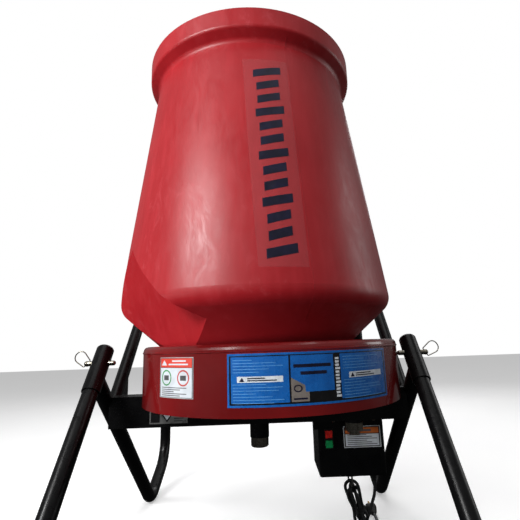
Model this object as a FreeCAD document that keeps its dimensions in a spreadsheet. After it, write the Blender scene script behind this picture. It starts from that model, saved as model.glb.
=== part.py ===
import FreeCAD, Part
import math
import os
import re
import Sketcher
from FreeCAD import Placement, Rotation, Vector

# Portable electric concrete mixer: an upright polyethylene drum that turns in a round steel drive
# guard, on a crossbar between two bent-tube side frames with pinned front legs.
# Millimetres, +Z up, floor at Z = 0, front at -Y, drum axis on X = 0.

os.makedirs("parts", exist_ok=True)
doc = FreeCAD.newDocument("ConcreteMixer")

DIMENSIONS = {
    # places
    "drum_y": -58.25, "guard_base": 306, "frame_half": 320,
    # crossbar
    "bar_depth": 50, "bar_tall": 62, "bar_top": 318, "bar_half": 310, "bar_wall": 3,
    # side frames
    "side_radius": 15.5, "side_wall": 2, "brace_radius": 14, "side_slope": 41.5, "rise_slope": 27,
    "side_cross_y": 6, "side_cross_z": 290, "foot_bend": 45, "rear_bend": 90, "rear_y": 475,
    "riser_top": 875, "side_lead": 80, "brace_cross_y": 38, "brace_cross_z": 313, "brace_slope": 49.4,
    "brace_low_y": 8,
    "gusset_y": 108, "gusset_front": 30, "gusset_thick": 4,
    # front legs, their sleeves, pins and feet
    "leg_slant": 37.5, "sleeve_y": -34, "sleeve_z": 414, "sleeve_radius": 17.5, "sleeve_bore": 15.3,
    "sleeve_long": 98, "leg_radius": 15, "leg_wall": 2, "leg_inset": 6, "pin_down": 31.5,
    "pin_radius": 5, "pin_hole": 5.3, "pin_inner": 294, "pin_ball": 5.6, "pin_ball_x": 348,
    "ring_wire": 1.1, "ring_hole": 1.2, "ring_long": 30, "ring_near": 9, "ring_far": 14,
    "ring_throat_bend": 2.4, "ring_end_bend": 11,
    "ring_rise_left": 45, "ring_rise_right": 32, "foot_radius": 21, "foot_sleeve": 18.5,
    "foot_tall": 14, "foot_sole": 6, "foot_long": 58, "plug_dome": 6,
    # push handle
    "handle_z": 848, "handle_radius": 12.5, "handle_wall": 2, "handle_root": 3,
    "grip_radius": 16.5, "grip_near": 70, "grip_far": 215,
    # drum
    "drum_base": 390, "drum_wall": 6, "base_radius": 174, "shoulder_radius": 289, "shoulder_z": 490,
    "neck_radius": 218, "neck_z": 1003, "rim_radius": 239, "rim_low": 1019, "rim_top": 1059,
    "base_round": 16, "shoulder_round": 34, "neck_round": 12, "rim_round": 8,
    "hollow_above": 40,
    "panel_heading": -129.8, "panel_tilt": 109.5, "panel_radius": 209, "panel_z": 455,
    "seam_heading": -44.8, "seam_tilt": 38.6, "seam_radius": 267, "seam_phase": -122.8,
    "seam_z": 511, "step_heading": 37, "step_tilt": 70, "step_radius": 235,
    "step_phase": -110.5, "step_z": 442,
    # drive guard and its floor
    "guard_shift": 28, "guard_radius": 265, "guard_tall": 112, "guard_wall": 1.6,
    "guard_mouth": 222, "floor_thick": 2, "swage_z": 100, "swage_proud": 1.2,
    # drum drive
    "shaft_radius": 12.45, "shaft_low": 229, "housing_radius": 20, "housing_bore": 17,
    "housing_low": 227, "housing_top": 330, "bearing_tall": 12, "bearing_bore": 12.5,
    "cap_radius": 18.5, "cap_low": 208, "plate_radius": 115, "plate_thick": 4,
    "bolt_circle": 90, "bolt_radius": 4, "bolt_head": 7.5, "head_tall": 5, "nut_tall": 6.5,
    "gear_module": 3, "ring_teeth": 122, "pinion_teeth": 11, "gear_low": 356, "gear_tall": 16,
    "gear_web": 6, "gear_web_up": 5, "gear_hub": 30, "gear_hub_low": 350, "rim_inner": 168,
    "web_hole": 34, "web_hole_circle": 98, "pinion_proud": 1, "addendum": 2.1, "dedendum": 3.15,
    "backlash": 0.3,
    # jackshaft
    "jack_radius": 7.95, "jack_bore": 8, "jack_low": 236, "jack_top": 374, "jack_housing": 17,
    "jack_housing_bore": 13, "jack_housing_low": 249, "jack_housing_top": 328, "jack_bearing": 10,
    "jack_cap_radius": 19, "jack_cap_low": 233, "jack_cap_tip": 224, "jack_cap_neck": 11,
    # belt and pulleys
    "pulley_z": 338, "pulley_half": 8, "driven_radius": 90, "driven_groove": 80, "motor_pulley": 21,
    "motor_groove": 11.5, "groove_half": 5.5, "belt_inner_big": 81, "belt_inner_small": 12.5,
    "belt_thick": 6, "belt_half": 4, "belt_play": 0.6, "pulley_web": 3, "pulley_rim": 8,
    "driven_hub": 20,
    # motor and its cover
    "motor_x": 200, "motor_y": 118, "motor_radius": 62, "motor_top": 300, "motor_low": 152,
    "bell_radius": 43, "bell_low": 118, "motor_shaft": 6.95, "motor_bore": 7.05,
    "motor_plate": 4, "motor_plate_left": 118, "motor_plate_right": 284, "motor_plate_back": 200,
    "cover_left": 128, "cover_right": 274, "cover_front": 50, "cover_back": 190, "cover_low": 128,
    "cover_wall": 1.5, "cover_round": 6, "bell_hole": 46, "lug_left": 119, "lug_low": 225,
    "lug_top": 250, "lug_deep": 20,
    # switch
    "switch_left": 141, "switch_right": 161, "switch_low": 186, "switch_top": 227,
    "switch_front": 45, "switch_back": 62, "button_side": 15.4, "button_gap": 0.4,
    "button_front": 42, "button_back": 53, "button_travel": 3.5, "stop_z": 216.5, "start_z": 196.5,
    # labels
    "label_thick": 0.6, "label_low": 322, "label_top": 402, "label_from": -14.5, "label_to": 49.5,
    "caution_low": 334, "caution_top": 399, "caution_from": -45.4, "caution_to": -27.7,
    "rating_left": -225, "rating_right": -147, "rating_low": 263, "rating_top": 296,
    "cover_label_left": 184, "cover_label_right": 266, "cover_label_low": 186,
    "cover_label_top": 231,
    # screws
    "screw_radius": 2.5, "screw_head": 5.5, "screw_head_tall": 3, "screw_long": 10,
    "cover_screw_left": 163, "cover_screw_right": 253, "cover_screw_z": 246,
    "floor_bolt_x": 120,
    # power cord
    "cord_radius": 3.5, "gland_x": 256, "gland_y": 100, "gland_top_radius": 9,
    "gland_tip_radius": 5, "gland_long": 26, "hook_wire": 2, "hook_x": 198, "hook_z": 104,
    "hook_front": 60, "hook_back": 108, "hook_tip": 113, "hook_bend": 5, "hook_play": 2,
    "hank_y": 91, "tie_low": 47, "tie_tall": 8, "tie_thick": 2,
    "plug_x": 262, "plug_y": 160, "plug_wide": 26, "plug_tall": 22, "plug_long": 38,
    "blade_long": 17, "blade_tall": 6.3, "blade_thick": 1.5, "blade_gap": 12.7,
}

sheet = doc.addObject("Spreadsheet::Sheet", "Dims")
for row, (alias, number) in enumerate(DIMENSIONS.items(), start=1):
    sheet.set(f"A{row}", alias)
    sheet.set(f"B{row}", str(number))
    sheet.setAlias(f"B{row}", alias)
doc.recompute()

reader = doc.addObject("Part::Feature", "Reader")
sub_parts = []
AXES = {"X": Vector(1, 0, 0), "Y": Vector(0, 1, 0), "Z": Vector(0, 0, 1)}
SIDES = {"left": -1, "right": 1}


def dims(expression):
    """The expression with each alias written as a cell of the sheet."""
    return re.sub(r"[a-z_]{2,}[a-z]", lambda word: "Dims." + word.group()
                  if word.group() in DIMENSIONS else word.group(), str(expression))


def size(expression):
    """The number that an expression on the sheet gives now."""
    result = reader.evalExpression(dims(expression))
    return float(getattr(result, "Value", result))


def bind(item, bindings):
    for name, expression in bindings.items():
        item.setExpression(name, dims(expression))
    return item


def place(item, x="0", y="0", z="0", rotation=None):
    if rotation is not None:
        item.Placement = Placement(Vector(), rotation)
    return bind(item, {"Placement.Base.x": x, "Placement.Base.y": y, "Placement.Base.z": z})


def keep(item, label):
    """Marks an object as a sub-part that gets its own file."""
    item.Label = label
    sub_parts.append(item)
    return item


def towards(axis):
    return Rotation(AXES["Z"], AXES[axis])


def box(x_range, y_range, z_range):
    item = doc.addObject("Part::Box", "Box")
    sides = {"Length": x_range, "Width": y_range, "Height": z_range}
    bind(item, {name: f"({high}) - ({low})" for name, (low, high) in sides.items()})
    return place(item, x_range[0], y_range[0], z_range[0])


def rod(radius, length, x="0", y="0", z="0", rotation=None):
    item = doc.addObject("Part::Cylinder", "Rod")
    bind(item, {"Radius": radius, "Height": length})
    return place(item, x, y, z, rotation)


def fuse(*items):
    item = doc.addObject("Part::MultiFuse", "Fuse")
    item.Shapes = list(items)
    return item


def group(*items):
    item = doc.addObject("Part::Compound", "Group")
    item.Links = list(items)
    return item


def cut(base, *tools):
    item = doc.addObject("Part::Cut", "Cut")
    item.Base = base
    item.Tool = tools[0] if len(tools) == 1 else fuse(*tools)
    return item


def made(shape):
    """A feature whose shape comes from Part's own functions."""
    item = doc.addObject("Part::Feature", "Made")
    item.Shape = shape
    return item


def outline_body(role, outline):
    """A body with one sketch on its own plane: a closed outline whose corners are bound."""
    body = doc.addObject("PartDesign::Body", "Body")
    sketch = body.newObject("Sketcher::SketchObject", "Outline")
    plane = next(item for item in body.Origin.OriginFeatures if item.Role == role)
    sketch.AttachmentSupport = (plane, [""])
    sketch.MapMode = "FlatFace"
    corners = [Vector(size(across), size(up), 0) for across, up in outline]
    for index, corner in enumerate(corners):
        sketch.addGeometry(Part.LineSegment(corner, corners[(index + 1) % len(corners)]), False)
    for index in range(len(corners)):
        after = (index + 1) % len(corners)
        sketch.addConstraint(Sketcher.Constraint("Coincident", index, 2, after, 1))
    for index, ends in enumerate(outline):
        for kind, expression in zip(("DistanceX", "DistanceY"), ends):
            bound = Sketcher.Constraint(kind, -1, 1, index, 1, size(expression))
            number = sketch.addConstraint(bound)
            sketch.setExpression(f"Constraints[{number}]", dims(expression))
    return body, sketch


def turned(outline, x="0", y="0", z="0", rotation=None):
    """A body turned from (radius, height) corners about its own Z axis."""
    body, sketch = outline_body("XZ_Plane", outline)
    revolution = body.newObject("PartDesign::Revolution", "Revolution")
    revolution.Profile = sketch
    revolution.ReferenceAxis = (sketch, ["V_Axis"])
    revolution.Angle = 360
    return place(body, x, y, z, rotation)


def ring(inner, outer, low, high, x="0", y="0"):
    return turned([(inner, low), (outer, low), (outer, high), (inner, high)], x, y)


def rounded(points, radii, closed=False):
    """A wire of straight runs joined by tangent arcs, one radius for each corner."""
    count = len(points)
    edges, cuts = [], {}
    corners = range(count) if closed else range(1, count - 1)
    for index in corners:
        here, radius = points[index], radii[index]
        back = (points[index - 1] - here).normalize()
        ahead = (points[(index + 1) % count] - here).normalize()
        if radius <= 0:
            cuts[index] = (here, here)
            continue
        half = back.getAngle(ahead) / 2
        reach = radius / math.tan(half)
        start, end = here + back * reach, here + ahead * reach
        middle = (back + ahead).normalize() * (radius / math.sin(half) - radius) + here
        cuts[index] = (start, end)
        edges.append((index, Part.Arc(start, middle, end).toShape()))
    for index in range(count if closed else count - 1):
        after = (index + 1) % count
        start = cuts.get(index, (points[index], points[index]))[1]
        end = cuts.get(after, (points[after], points[after]))[0]
        if (end - start).Length > 1e-6:
            edges.append((index + 0.5, Part.LineSegment(start, end).toShape()))
    return Part.Wire([edge for _, edge in sorted(edges, key=lambda pair: pair[0])])


def swept(wire, radius):
    """A round bar along a wire that starts with a straight run."""
    first = wire.Edges[0]
    start = first.valueAt(first.FirstParameter)
    heading = first.tangentAt(first.FirstParameter)
    circle = Part.Wire(Part.makeCircle(radius, start, heading))
    return wire.makePipeShell([circle], True, True)


def half_space(point, outward, reach=2000):
    """A large block that fills everything behind a plane."""
    block = Part.makeBox(reach, reach, reach, Vector(-reach / 2, -reach / 2, -reach))
    block.Placement = Placement(point, Rotation(AXES["Z"], outward))
    return block


def side_point(side, y, z):
    return Vector(SIDES[side] * size("frame_half"), size("drum_y") + y, z)


# ---------------------------------------------------------------- side frames

def side_route(side):
    """Centre line of a side tube: down and back, over its floor bend, then up the riser."""
    slope, rise = math.radians(size("side_slope")), math.radians(size("rise_slope"))
    bend = size("foot_bend")
    lift = bend / math.cos((slope + rise) / 2) * math.cos((slope - rise) / 2)
    floor_z = size("side_radius") + bend - lift
    floor_y = size("side_cross_y") + (size("side_cross_z") - floor_z) / math.tan(slope)
    rear_z = floor_z + (size("rear_y") - floor_y) * math.tan(rise)
    lead = size("side_lead")
    front_z = size("side_cross_z") + lead * math.tan(slope)
    return [side_point(side, size("side_cross_y") - lead, front_z),
            side_point(side, floor_y, floor_z),
            side_point(side, size("rear_y"), rear_z),
            side_point(side, size("rear_y"), size("riser_top"))]


def brace_line(side):
    """Ends of a brace's centre line, from inside the crossbar joint to inside the riser."""
    slope = math.tan(math.radians(size("brace_slope")))
    base_y, base_z = size("brace_cross_y"), size("brace_cross_z")
    return [side_point(side, y, base_z + (y - base_y) * slope)
            for y in (size("brace_low_y"), size("rear_y"))]


def leg_direction():
    slant = math.radians(size("leg_slant"))
    return Vector(0, -math.sin(slant), -math.cos(slant))


def leg_rotation():
    return Rotation(AXES["Z"], leg_direction())


def sleeve_top(side):
    return side_point(side, size("sleeve_y"), size("sleeve_z"))


def bar_between(start, end, radius):
    return Part.makeCylinder(radius, (end - start).Length, start, end - start)


def side_frame(side):
    radius, wall = size("side_radius"), size("side_wall")
    top = sleeve_top(side)
    down = leg_direction()
    sleeve_solid = bar_between(top, top + down * size("sleeve_long"), size("sleeve_radius"))
    route = rounded(side_route(side), [0, size("foot_bend"), size("rear_bend"), 0])
    bar, bore = swept(route, radius), swept(route, radius - wall)
    tube = bar.cut(bore).cut(sleeve_solid)
    keep(made(max(tube.Solids, key=lambda solid: solid.Volume)), f"{side}_side_tube")

    brace_start, brace_end = brace_line(side)
    brace_solid = bar_between(brace_start, brace_end, size("brace_radius"))
    brace_bore = bar_between(brace_start, brace_end, size("brace_radius") - wall)
    brace = brace_solid.cut(brace_bore).cut(bar).cut(crossbar_solid())
    keep(made(max(brace.Solids, key=lambda solid: solid.Volume)), f"{side}_brace_tube")

    gusset_y = size("gusset_y")
    slope = math.tan(math.radians(size("brace_slope")))
    drop = math.tan(math.radians(size("side_slope")))
    high = size("brace_cross_z") + (gusset_y - size("brace_cross_y")) * slope
    low = size("side_cross_z") - (gusset_y - size("side_cross_y")) * drop
    corners = [side_point(side, size("gusset_front"), size("side_cross_z")),
               side_point(side, gusset_y, low), side_point(side, gusset_y, high)]
    thick = size("gusset_thick")
    plate = Part.Face(rounded(corners, [0, 0, 0], closed=True)).extrude(Vector(thick, 0, 0))
    plate.translate(Vector(-thick / 2, 0, 0))
    plate = plate.cut(bar).cut(brace_solid).cut(crossbar_solid())
    keep(made(max(plate.Solids, key=lambda solid: solid.Volume)), f"{side}_gusset")
    leg_assembly(side, top, down)


def leg_assembly(side, top, down):
    sign = SIDES[side]
    where = (f"{sign} * frame_half", "drum_y + sleeve_y", "sleeve_z")
    hole_at = top + down * size("pin_down")
    hole = made(Part.makeCylinder(size("pin_hole"), 80, hole_at - AXES["X"] * 40, AXES["X"]))
    tube = cut(rod("sleeve_radius", "sleeve_long", *where, leg_rotation()),
               rod("sleeve_bore", "sleeve_long + 2", *where, leg_rotation()), hole)
    keep(tube, f"{side}_leg_sleeve")

    foot_along = (size("sleeve_z") - size("foot_sole")) / math.cos(math.radians(size("leg_slant")))
    inset = size("leg_inset")
    start, end = top + down * inset, top + down * (foot_along + 30)
    leg = bar_between(start, end, size("leg_radius"))
    leg = leg.cut(bar_between(start, end, size("leg_radius") - size("leg_wall")))
    sole = half_space(Vector(0, 0, size("foot_sole")), AXES["Z"])
    keep(made(leg.cut(sole).cut(hole.Shape)), f"{side}_front_leg")

    ground = top + down * (size("sleeve_z") / math.cos(math.radians(size("leg_slant"))))
    boot = bar_between(ground - down * size("foot_long"), ground + down * 30, size("foot_sleeve"))
    pad = Part.makeCylinder(size("foot_radius"), size("foot_tall"), ground)
    boot = boot.fuse(pad).cut(half_space(Vector(), AXES["Z"]))
    leg_core = bar_between(start, end, size("leg_radius")).cut(sole)
    keep(made(boot.cut(leg_core).removeSplitter()), f"{side}_leg_foot")
    hitch_pin(side, sign, hole_at)


def hitch_pin(side, sign, through):
    """A pin through sleeve and leg, with a ball head that carries a loose wire ring."""
    inner, ball_x = size("pin_inner"), size("pin_ball_x")
    pin = bar_between(Vector(sign * inner, through.y, through.z),
                      Vector(sign * ball_x, through.y, through.z), size("pin_radius"))
    tip = Part.makeSphere(size("pin_radius"), Vector(sign * inner, through.y, through.z))
    centre = Vector(sign * ball_x, through.y, through.z)
    ball = Part.makeSphere(size("pin_ball"), centre)
    rise = math.radians(size(f"ring_rise_{side}"))
    outward = Vector(sign * math.cos(rise), 0, math.sin(rise))
    across = Vector(-sign * math.sin(rise), 0, math.cos(rise))
    hole = Part.makeCylinder(size("ring_hole"), 20, centre - across * 10, across)
    keep(made(pin.fuse([tip, ball]).cut(hole).removeSplitter()), f"{side}_hitch_pin")

    near, far, reach = size("ring_near"), size("ring_far"), size("ring_long")
    corners = [centre, centre + across * near, centre + outward * reach + across * far,
               centre + outward * reach - across * far, centre - across * near]
    throat, end = size("ring_throat_bend"), size("ring_end_bend")
    loop = rounded(corners, [0, throat, end, end, throat], closed=True)
    keep(made(swept(loop, size("ring_wire"))), f"{side}_pin_ring")


def tube_plugs():
    """Moulded plugs in the open ends of the leg sleeves and of the risers."""
    dome = [("0", "-plug_dome"), ("sleeve_radius - 5", "-plug_dome"),
            ("sleeve_radius - 1.5", "1.5 - plug_dome"), ("sleeve_radius", "-2"),
            ("sleeve_radius", "0"), ("sleeve_bore", "0"), ("sleeve_bore", "4"), ("0", "4")]
    cap = [("0", "-14"), ("side_radius - side_wall", "-14"), ("side_radius - side_wall", "0"),
           ("side_radius", "0"), ("side_radius", "2"), ("side_radius - 2", "4"), ("0", "4")]
    halves = [f"{sign} * frame_half" for sign in SIDES.values()]
    keep(group(*[turned(dome, x, "drum_y + sleeve_y", "sleeve_z", leg_rotation())
                 for x in halves]), "sleeve_plugs")
    keep(group(*[turned(cap, x, "drum_y + rear_y", "riser_top") for x in halves]), "riser_caps")


# ---------------------------------------------------------------- crossbar and handle

def crossbar_solid():
    half, depth = size("bar_half"), size("bar_depth")
    return Part.makeBox(2 * half, depth, size("bar_tall"),
                        Vector(-half, size("drum_y") - depth / 2, size("bar_top - bar_tall")))


def crossbar():
    ends = [swept(rounded(side_route(side), [0, size("foot_bend"), size("rear_bend"), 0]),
                  size("side_radius")) for side in SIDES]
    outer = box(("-bar_half", "bar_half"), ("drum_y - bar_depth / 2", "drum_y + bar_depth / 2"),
                ("bar_top - bar_tall", "bar_top"))
    inner = box(("-bar_half", "bar_half"),
                ("drum_y - bar_depth / 2 + bar_wall", "drum_y + bar_depth / 2 - bar_wall"),
                ("bar_top - bar_tall + bar_wall", "bar_top - bar_wall"))
    bearing_hole = rod("housing_radius", "120", "0", "drum_y", "bar_top - 100")
    jack_hole = rod("jack_housing", "120", JACK_X, "drum_y", "bar_top - 100")
    bolt_holes = [rod("screw_radius", "40", f"{sign} * floor_bolt_x", "drum_y", "bar_top - 20")
                  for sign in SIDES.values()]
    keep(cut(outer, inner, bearing_hole, jack_hole, *bolt_holes, *[made(end) for end in ends]),
         "crossbar")


def push_handle():
    half = "(frame_half - side_radius + handle_root)"
    bar = rod("handle_radius", f"2 * {half}", f"-{half}", "drum_y + rear_y", "handle_z", towards("X"))
    bore = rod("handle_radius - handle_wall", f"2 * {half}", f"-{half}", "drum_y + rear_y",
               "handle_z", towards("X"))
    risers = [rod("side_radius", "200", f"{sign} * frame_half", "drum_y + rear_y",
                  "riser_top - 160") for sign in SIDES.values()]
    keep(cut(bar, bore, *risers), "push_handle")
    grip = [("handle_radius", "grip_near"), ("grip_radius - 2", "grip_near"),
            ("grip_radius", "grip_near + 3"), ("grip_radius", "grip_far - 3"),
            ("grip_radius - 2", "grip_far"), ("handle_radius", "grip_far")]
    keep(group(*[turned(grip, "0", "drum_y + rear_y", "handle_z",
                        Rotation(AXES["Z"], AXES["X"] * sign)) for sign in SIDES.values()]),
         "handle_grips")


# ---------------------------------------------------------------- drum

DRUM_OUTLINE = [("0", "drum_base"), ("base_radius", "drum_base"), ("shoulder_radius", "shoulder_z"),
                ("neck_radius", "neck_z"), ("rim_radius", "rim_low"), ("rim_radius", "rim_top")]


def moved_inward(points, inset):
    """The outline with each of its lines moved inward, ends kept on their own levels."""
    lines = []
    for first, second in zip(points, points[1:]):
        along = (second - first).normalize()
        inward = Vector(-along.z, 0, along.x)
        lines.append((first + inward * inset, along))
    result = [lines[0][0]]
    for (start, along), (other, ahead) in zip(lines, lines[1:]):
        gap = other - start
        turn = along.x * ahead.z - along.z * ahead.x
        result.append(start + along * ((gap.x * ahead.z - gap.z * ahead.x) / turn))
    return result + [points[-1] - Vector(inset, 0, 0)]


def drum_form(inset):
    """The filled drum, or the hollow inside it when inset is the wall."""
    points = [Vector(size(radius), 0, size(height)) for radius, height in DRUM_OUTLINE]
    if inset:
        points = moved_inward(points, inset)
        points[-1].z += size("hollow_above")
    rounds = [0, size("base_round") - inset, size("shoulder_round") - inset,
              size("neck_round") + inset, size("rim_round") - inset, 0, 0]
    points.append(Vector(0, 0, points[-1].z))
    profile = rounded(points, rounds, closed=True)
    form = Part.Face(profile).revolve(Vector(), AXES["Z"], 360)
    form.translate(Vector(0, size("drum_y"), 0))
    return form


def around(radius, degrees, z):
    """A point at an angle about the drum axis, counted from +X."""
    angle = math.radians(size(degrees))
    return Vector(size(radius) * math.cos(angle), size("drum_y") + size(radius) * math.sin(angle),
                  size(z))


def unit(heading, tilt):
    """A direction by its heading about Z and its tilt from +Z, in degrees."""
    turn, lean = math.radians(heading), math.radians(tilt)
    return Vector(math.cos(turn) * math.sin(lean), math.sin(turn) * math.sin(lean), math.cos(lean))


def vane_space(inset):
    """Space outside one moulded mixing vane: under its seam, left of its step, off its panel."""
    seam = unit(size("seam_heading"), size("seam_tilt"))
    step = unit(size("step_heading"), size("step_tilt"))
    panel = unit(size("panel_heading"), size("panel_tilt"))
    on_panel = around("panel_radius", "panel_heading", "panel_z")
    under = half_space(around("seam_radius", "seam_phase", "seam_z") + seam * inset, seam)
    beside = half_space(around("step_radius", "step_phase", "step_z") + step * inset, step)
    return under.common(beside).common(half_space(on_panel - panel * inset, -panel))


def drum_solid(inset):
    form = drum_form(inset)
    first = vane_space(inset)
    second = first.copy()
    second.rotate(Vector(0, size("drum_y"), 0), AXES["Z"], 180)
    return form.cut(first).cut(second)


def drum():
    shell = drum_solid(0).cut(drum_solid(size("drum_wall")))
    holes = [made(Part.makeCylinder(size("bolt_radius"), 30, spot - AXES["Z"] * 15))
             for spot in bolt_spots()]
    keep(cut(made(shell), *holes), "drum_shell")

    plate = rod("plate_radius", "plate_thick", "0", "drum_y", "drum_base - plate_thick")
    plate_holes = [made(item.Shape) for item in holes]
    bore = rod("shaft_radius", "30", "0", "drum_y", "drum_base - 15")
    keep(cut(plate, bore, *plate_holes), "drum_base_plate")

    low, high = "drum_base - plate_thick", "drum_base + drum_wall"
    bolts = []
    for spot in bolt_spots():
        x, y = str(spot.x), str(spot.y)
        shank = rod("bolt_radius", f"({high}) - ({low}) + nut_tall", x, y, f"{low} - nut_tall")
        head = hexagon(spot, high, "head_tall")
        nut = hexagon(spot, f"{low} - nut_tall", "nut_tall")
        bolts.append(fuse(shank, head, nut))
    keep(group(*bolts), "drum_bolts")


def bolt_spots():
    return [around("bolt_circle", str(30 + 60 * index), "drum_base") for index in range(6)]


def hexagon(spot, low, tall):
    item = doc.addObject("Part::Prism", "Hexagon")
    item.Polygon = 6
    bind(item, {"Circumradius": "bolt_head", "Height": tall})
    return place(item, str(spot.x), str(spot.y), low)


# ---------------------------------------------------------------- drive guard

def drive_guard():
    outline = [("guard_radius - guard_wall", "0"), ("guard_radius", "0"),
               ("guard_radius", "swage_z - 2"), ("guard_radius + swage_proud", "swage_z - 1"),
               ("guard_radius + swage_proud", "swage_z + 1"), ("guard_radius", "swage_z + 2"),
               ("guard_radius", "guard_tall - 9"), ("guard_radius - 1", "guard_tall - 5"),
               ("guard_radius - 4", "guard_tall - 1.5"), ("guard_radius - 9", "guard_tall"),
               ("10", "guard_tall"), ("10", "guard_tall - guard_wall"),
               ("guard_radius - 9", "guard_tall - guard_wall"),
               ("guard_radius - guard_wall", "guard_tall - 9")]
    pan = turned(outline, "guard_shift", "drum_y", "guard_base")
    mouth = rod("guard_mouth", "60", "0", "drum_y", "guard_base + guard_tall - 30")
    notch = box(("-bar_half - 20", "bar_half + 20"),
                ("drum_y - bar_depth / 2", "drum_y + bar_depth / 2"), ("guard_base - 20", "bar_top"))
    keep(cut(pan, mouth, notch), "drive_guard")

    floor = rod("guard_radius - guard_wall", "floor_thick", "guard_shift", "drum_y", "bar_top")
    holes = [rod("housing_radius", "20", "0", "drum_y", "bar_top - 10"),
             rod("jack_housing", "20", JACK_X, "drum_y", "bar_top - 10"),
             rod("motor_pulley + 2", "20", "motor_x", "drum_y + motor_y", "bar_top - 10")]
    holes += [rod("screw_radius", "20", f"{sign} * floor_bolt_x", "drum_y", "bar_top - 10")
              for sign in SIDES.values()]
    keep(cut(floor, *holes), "guard_floor")
    bolts = []
    for sign in SIDES.values():
        x, top = f"{sign} * floor_bolt_x", "bar_top + floor_thick"
        bolts.append(fuse(rod("screw_radius", "12", x, "drum_y", f"{top} - 12"),
                          rod("screw_head", "screw_head_tall", x, "drum_y", top)))
    keep(group(*bolts), "floor_bolts")


# ---------------------------------------------------------------- drive train

JACK_X = "(gear_module * (ring_teeth + pinion_teeth) / 2)"


def tooth_outline(teeth, phase):
    """Closed outline of an external involute gear; phase is the angle of one tooth's middle."""
    module, pressure = size("gear_module"), math.radians(20)
    pitch = module * teeth / 2
    base, tip = pitch * math.cos(pressure), pitch + size("addendum")
    root = pitch - size("dedendum")
    half_pitch = math.pi / 2 / teeth - size("backlash") / 2 / pitch
    involute = math.tan(pressure) - pressure

    def half_angle(radius):
        slope = math.acos(min(1, base / max(radius, base)))
        return half_pitch + involute - (math.tan(slope) - slope)

    flank = [root, max(base, root + 0.2), pitch, tip]
    points = []
    for tooth in range(teeth):
        middle = phase + 2 * math.pi * tooth / teeth
        rising = [(radius, middle - half_angle(radius)) for radius in flank]
        falling = [(radius, middle + half_angle(radius)) for radius in reversed(flank)]
        points += [Vector(r * math.cos(a), r * math.sin(a), 0) for r, a in rising + falling]
    return Part.makePolygon(points + [points[0]])


def ring_gear():
    rim = Part.Face(tooth_outline(int(size("ring_teeth")), math.pi / size("ring_teeth")))
    rim = rim.extrude(Vector(0, 0, size("gear_tall")))
    rim = rim.cut(Part.makeCylinder(size("rim_inner"), size("gear_tall")))
    rim.translate(Vector(0, size("drum_y"), size("gear_low")))
    web = rod("rim_inner", "gear_web", "0", "drum_y", "gear_low + gear_web_up")
    hub = rod("gear_hub", "drum_base - plate_thick - gear_hub_low", "0", "drum_y", "gear_hub_low")
    bore = rod("shaft_radius", "80", "0", "drum_y", "gear_hub_low - 10")
    holes = [rod("web_hole", "40", str(spot.x), str(spot.y), "gear_low - 10")
             for spot in [around("web_hole_circle", str(60 * index), "gear_low")
                          for index in range(6)]]
    keep(cut(fuse(made(rim), web, hub), bore, *holes), "ring_gear")


def drum_drive():
    keep(rod("shaft_radius", "drum_base - shaft_low", "0", "drum_y", "shaft_low"), "drum_shaft")
    keep(ring("housing_bore", "housing_radius", "housing_low", "housing_top", y="drum_y"),
         "drum_bearing_housing")
    lows = ("housing_low + 4", "housing_top - 4 - bearing_tall")
    keep(group(*[ring("bearing_bore", "housing_bore", low, f"{low} + bearing_tall", y="drum_y")
                 for low in lows]), "drum_bearings")
    cap = [("0", "cap_low"), ("cap_radius - 2", "cap_low"), ("cap_radius", "cap_low + 2"),
           ("cap_radius", "housing_low"), ("0", "housing_low")]
    keep(turned(cap, y="drum_y"), "drum_bearing_cap")


def jackshaft():
    keep(rod("jack_radius", "jack_top - jack_low", JACK_X, "drum_y", "jack_low"), "jackshaft")
    keep(ring("jack_housing_bore", "jack_housing", "jack_housing_low", "jack_housing_top",
              JACK_X, "drum_y"), "jackshaft_housing")
    lows = ("jack_housing_low + 3", "jack_housing_top - 3 - jack_bearing")
    keep(group(*[ring("jack_bore", "jack_housing_bore", low, f"{low} + jack_bearing", JACK_X,
                      "drum_y") for low in lows]), "jackshaft_bearings")
    cap = [("0", "jack_cap_tip"), ("jack_cap_neck", "jack_cap_tip"),
           ("jack_cap_neck", "jack_cap_low"), ("jack_cap_radius", "jack_cap_low"),
           ("jack_cap_radius", "jack_housing_low"), ("jack_bore + 2", "jack_housing_low"),
           ("jack_bore + 2", "jack_cap_low"), ("0", "jack_cap_low")]
    keep(turned(cap, JACK_X, "drum_y"), "jackshaft_cap")

    pinion = Part.Face(tooth_outline(int(size("pinion_teeth")), math.pi))
    pinion = pinion.extrude(Vector(0, 0, size("gear_tall + 2 * pinion_proud")))
    pinion.translate(Vector(size(JACK_X), size("drum_y"), size("gear_low - pinion_proud")))
    bore = rod("jack_radius", "60", JACK_X, "drum_y", "gear_low - 20")
    keep(cut(made(pinion), bore), "pinion")


def pulley(bore, hub, outer, groove, x, y):
    """A V-belt pulley; the web is thinner than the rim where the pulley is large."""
    low, high = "pulley_z - pulley_half", "pulley_z + pulley_half"
    lip_low, lip_high = "pulley_z - groove_half", "pulley_z + groove_half"
    floor_low, floor_high = "pulley_z - belt_half - belt_play", "pulley_z + belt_half + belt_play"
    outline = [(bore, low), (outer, low), (outer, lip_low), (groove, floor_low),
               (groove, floor_high), (outer, lip_high), (outer, high)]
    if hub:
        inside = f"{groove} - pulley_rim"
        web_low, web_high = "pulley_z - pulley_web", "pulley_z + pulley_web"
        outline[0:1] = [(bore, low), (hub, low), (hub, web_low), (inside, web_low), (inside, low)]
        outline += [(inside, high), (inside, web_high), (hub, web_high), (hub, high)]
    return turned(outline + [(bore, high)], x, y)


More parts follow.
